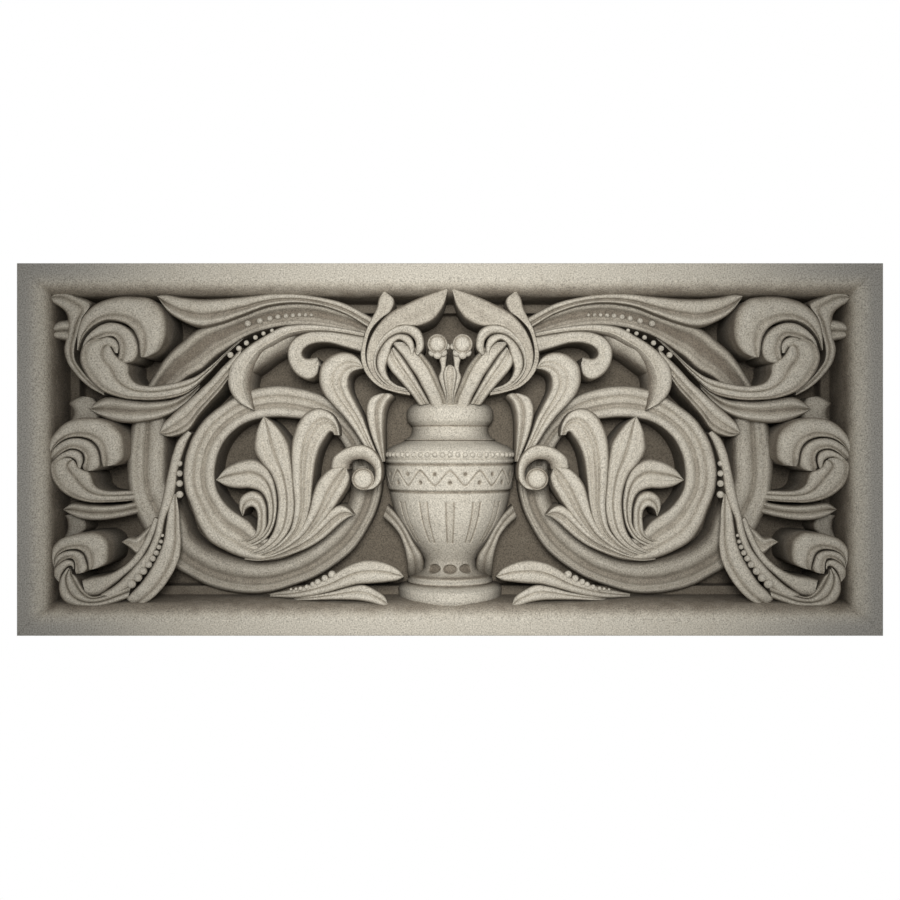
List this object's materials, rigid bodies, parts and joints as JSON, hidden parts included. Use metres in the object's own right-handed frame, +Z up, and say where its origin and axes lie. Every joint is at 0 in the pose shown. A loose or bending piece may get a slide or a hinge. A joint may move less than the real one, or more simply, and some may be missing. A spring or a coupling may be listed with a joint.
{
  "type": "decorative wall panel",
  "caption": "Oblong stone wall panel carved in deep relief with an urn of flowers between two symmetric scrolls of acanthus leaves, inside a plain moulded frame.",
  "frame": {"origin": "middle of the flat back face", "axes": "+X along the length, +Z up, and the back face looks along +Y, so the carving looks along -Y"},
  "size_m": [0.867, 0.1, 0.373],
  "materials": {
    "sandstone": null
  },
  "bodies": {
    "root": {"carved_panel": "sandstone"}
  },
  "joints": []
}
